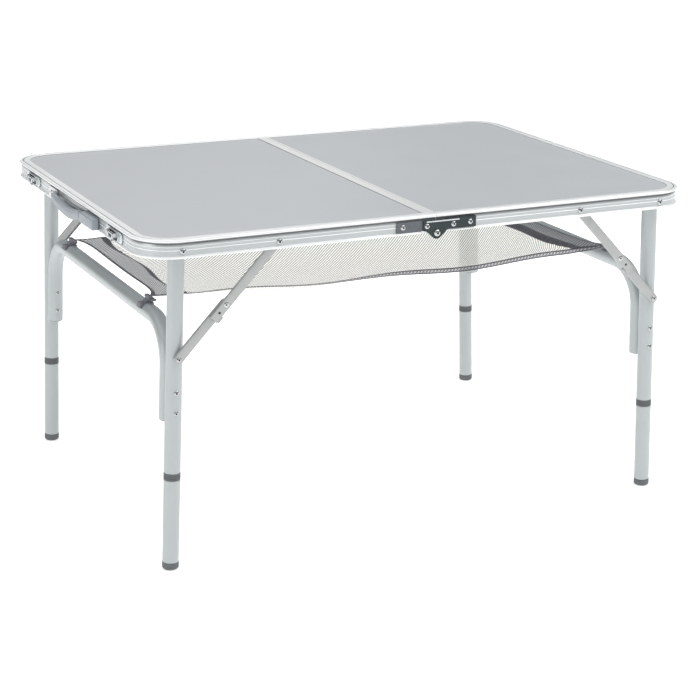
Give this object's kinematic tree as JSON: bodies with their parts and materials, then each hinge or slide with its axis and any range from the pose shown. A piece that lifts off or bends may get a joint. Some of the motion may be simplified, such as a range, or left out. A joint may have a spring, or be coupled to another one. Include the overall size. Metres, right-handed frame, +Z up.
{
  "type": "folding table",
  "caption": "Light folding camp table with a two-leaf top, swinging leg sets on locking braces, plug-in lower legs, a carrying handle and a hanging net shelf.",
  "frame": {"origin": "on the floor, under the middle of the outline, handle included", "axes": "+X along the table from the handle end to the plain end, +Y from the front long side to the rear, +Z up"},
  "size_m": [1.213, 0.88, 0.66],
  "materials": {
    "laminate": "light grey melamine-faced board, satin",
    "anodised_rail": "clear anodised extrusion with fine lengthwise lines",
    "painted_tube": "light grey satin powder coat",
    "pressed_steel": "zinc plated pressing",
    "dark_steel": "dark grey zinc plated steel",
    "bright_steel": "bright plated steel",
    "grey_plastic": "blue grey moulded plastic",
    "dark_plastic": "dark grey moulded plastic",
    "net_mesh": "white see-through polyester mesh with grey edging tape"
  },
  "bodies": {
    "left_leaf": {"frame_left": "anodised_rail", "panel_left": "laminate", "seam_strip_left": "anodised_rail", "net_left": "net_mesh", "leg_pivot_left_front": "bright_steel", "leg_pivot_left_rear": "bright_steel", "brace_pivot_left_front": "bright_steel", "brace_pivot_left_rear": "bright_steel", "hinge_plate_left_front": "dark_steel", "hinge_plate_left_rear": "dark_steel", "hinge_pin_front": "bright_steel", "hinge_pin_rear": "bright_steel", "handle_plate": "pressed_steel", "handle_cover": "grey_plastic", "latch_plate_front": "pressed_steel", "latch_plate_rear": "pressed_steel"},
    "right_leaf": {"frame_right": "anodised_rail", "panel_right": "laminate", "seam_strip_right": "anodised_rail", "net_right": "net_mesh", "leg_pivot_right_front": "bright_steel", "leg_pivot_right_rear": "bright_steel", "brace_pivot_right_front": "bright_steel", "brace_pivot_right_rear": "bright_steel", "hinge_plate_right_front": "dark_steel", "hinge_plate_right_rear": "dark_steel"},
    "left_leg_set": {"cross_tube_left": "painted_tube", "upper_leg_left_front": "painted_tube", "upper_leg_left_rear": "painted_tube", "net_clip_left_front": "dark_plastic", "net_clip_left_rear": "dark_plastic"},
    "lower_leg_left_front": {"lower_leg_left_front": "painted_tube", "leg_collar_left_front": "dark_plastic", "foot_left_front": "dark_plastic"},
    "brace_upper_left_front": {"brace_upper_left_front": "pressed_steel"},
    "brace_lower_left_front": {"brace_lower_left_front": "pressed_steel"},
    "lower_leg_left_rear": {"lower_leg_left_rear": "painted_tube", "leg_collar_left_rear": "dark_plastic", "foot_left_rear": "dark_plastic"},
    "brace_upper_left_rear": {"brace_upper_left_rear": "pressed_steel"},
    "brace_lower_left_rear": {"brace_lower_left_rear": "pressed_steel"},
    "right_leg_set": {"cross_tube_right": "painted_tube", "upper_leg_right_front": "painted_tube", "upper_leg_right_rear": "painted_tube", "net_clip_right_front": "dark_plastic", "net_clip_right_rear": "dark_plastic"},
    "lower_leg_right_front": {"lower_leg_right_front": "painted_tube", "leg_collar_right_front": "dark_plastic", "foot_right_front": "dark_plastic"},
    "brace_upper_right_front": {"brace_upper_right_front": "pressed_steel"},
    "brace_lower_right_front": {"brace_lower_right_front": "pressed_steel"},
    "lower_leg_right_rear": {"lower_leg_right_rear": "painted_tube", "leg_collar_right_rear": "dark_plastic", "foot_right_rear": "dark_plastic"},
    "brace_upper_right_rear": {"brace_upper_right_rear": "pressed_steel"},
    "brace_lower_right_rear": {"brace_lower_right_rear": "pressed_steel"},
    "handle": {"handle_grip": "grey_plastic"},
    "latch_lever_front": {"latch_lever_front": "bright_steel"},
    "latch_lever_rear": {"latch_lever_rear": "bright_steel"}
  },
  "joints": [
    {"name": "table_fold", "type": "hinge", "parent": "left_leaf", "child": "right_leaf", "pos_m": [0.0065, 0, 0.624], "axis": [0, 1, 0], "range_deg": [0, 65], "deforming": ["net_left", "net_right"]},
    {"name": "left_legs_fold", "type": "hinge", "parent": "left_leaf", "child": "left_leg_set", "pos_m": [-0.515, 0, 0.6375], "axis": [0, 1, 0], "range_deg": [-92.1, 0], "deforming": ["net_left"]},
    {"name": "left_front_upper_link", "type": "hinge", "parent": "left_leaf", "child": "brace_upper_left_front", "pos_m": [-0.3235, -0.425, 0.6375], "axis": [0, 1, 0], "range_deg": [-134, 0]},
    {"name": "left_front_lower_link", "type": "hinge", "parent": "left_leg_set", "child": "brace_lower_left_front", "pos_m": [-0.5227, -0.418, 0.42764], "axis": [0, 1, 0], "range_deg": [0, 139.1]},
    {"name": "left_front_lower_leg_pull", "type": "slide", "parent": "left_leg_set", "child": "lower_leg_left_front", "axis": [-0.0366, 0, -0.9993], "range_m": [0, 0.06]},
    {"name": "left_rear_upper_link", "type": "hinge", "parent": "left_leaf", "child": "brace_upper_left_rear", "pos_m": [-0.3235, 0.425, 0.6375], "axis": [0, 1, 0], "range_deg": [-134, 0]},
    {"name": "left_rear_lower_link", "type": "hinge", "parent": "left_leg_set", "child": "brace_lower_left_rear", "pos_m": [-0.5227, 0.418, 0.42764], "axis": [0, 1, 0], "range_deg": [0, 139.1]},
    {"name": "left_rear_lower_leg_pull", "type": "slide", "parent": "left_leg_set", "child": "lower_leg_left_rear", "axis": [-0.0366, 0, -0.9993], "range_m": [0, 0.06]},
    {"name": "right_legs_fold", "type": "hinge", "parent": "right_leaf", "child": "right_leg_set", "pos_m": [0.528, 0, 0.6375], "axis": [0, -1, 0], "range_deg": [-87.1, 0], "deforming": ["net_right"]},
    {"name": "right_front_upper_link", "type": "hinge", "parent": "right_leaf", "child": "brace_upper_right_front", "pos_m": [0.3365, -0.425, 0.6375], "axis": [0, -1, 0], "range_deg": [-128.1, 0]},
    {"name": "right_front_lower_link", "type": "hinge", "parent": "right_leg_set", "child": "brace_lower_right_front", "pos_m": [0.5357, -0.418, 0.42764], "axis": [0, -1, 0], "range_deg": [0, 133.1]},
    {"name": "right_front_lower_leg_pull", "type": "slide", "parent": "right_leg_set", "child": "lower_leg_right_front", "axis": [0.0366, 0, -0.9993], "range_m": [0, 0.06]},
    {"name": "right_rear_upper_link", "type": "hinge", "parent": "right_leaf", "child": "brace_upper_right_rear", "pos_m": [0.3365, 0.425, 0.6375], "axis": [0, -1, 0], "range_deg": [-128.1, 0]},
    {"name": "right_rear_lower_link", "type": "hinge", "parent": "right_leg_set", "child": "brace_lower_right_rear", "pos_m": [0.5357, 0.418, 0.42764], "axis": [0, -1, 0], "range_deg": [0, 133.1]},
    {"name": "right_rear_lower_leg_pull", "type": "slide", "parent": "right_leg_set", "child": "lower_leg_right_rear", "axis": [0.0366, 0, -0.9993], "range_m": [0, 0.06]},
    {"name": "handle_swing", "type": "hinge", "parent": "left_leaf", "child": "handle", "pos_m": [-0.6005, 0, 0.641], "axis": [0, 1, 0], "range_deg": [0, 90]},
    {"name": "latch_front_swing", "type": "hinge", "parent": "left_leaf", "child": "latch_lever_front", "pos_m": [-0.5961, -0.268, 0.643], "axis": [0, 1, 0], "range_deg": [0, 110]},
    {"name": "latch_rear_swing", "type": "hinge", "parent": "left_leaf", "child": "latch_lever_rear", "pos_m": [-0.5961, 0.268, 0.643], "axis": [0, 1, 0], "range_deg": [0, 110]}
  ],
  "couplings": [
    {"joint": "left_front_upper_link", "follows": "left_legs_fold", "ratio": 1.4496},
    {"joint": "left_front_lower_link", "follows": "left_legs_fold", "ratio": -1.5048},
    {"joint": "left_rear_upper_link", "follows": "left_legs_fold", "ratio": 1.4496},
    {"joint": "left_rear_lower_link", "follows": "left_legs_fold", "ratio": -1.5048},
    {"joint": "right_front_upper_link", "follows": "right_legs_fold", "ratio": 1.4648},
    {"joint": "right_front_lower_link", "follows": "right_legs_fold", "ratio": -1.522},
    {"joint": "right_rear_upper_link", "follows": "right_legs_fold", "ratio": 1.4648},
    {"joint": "right_rear_lower_link", "follows": "right_legs_fold", "ratio": -1.522}
  ]
}
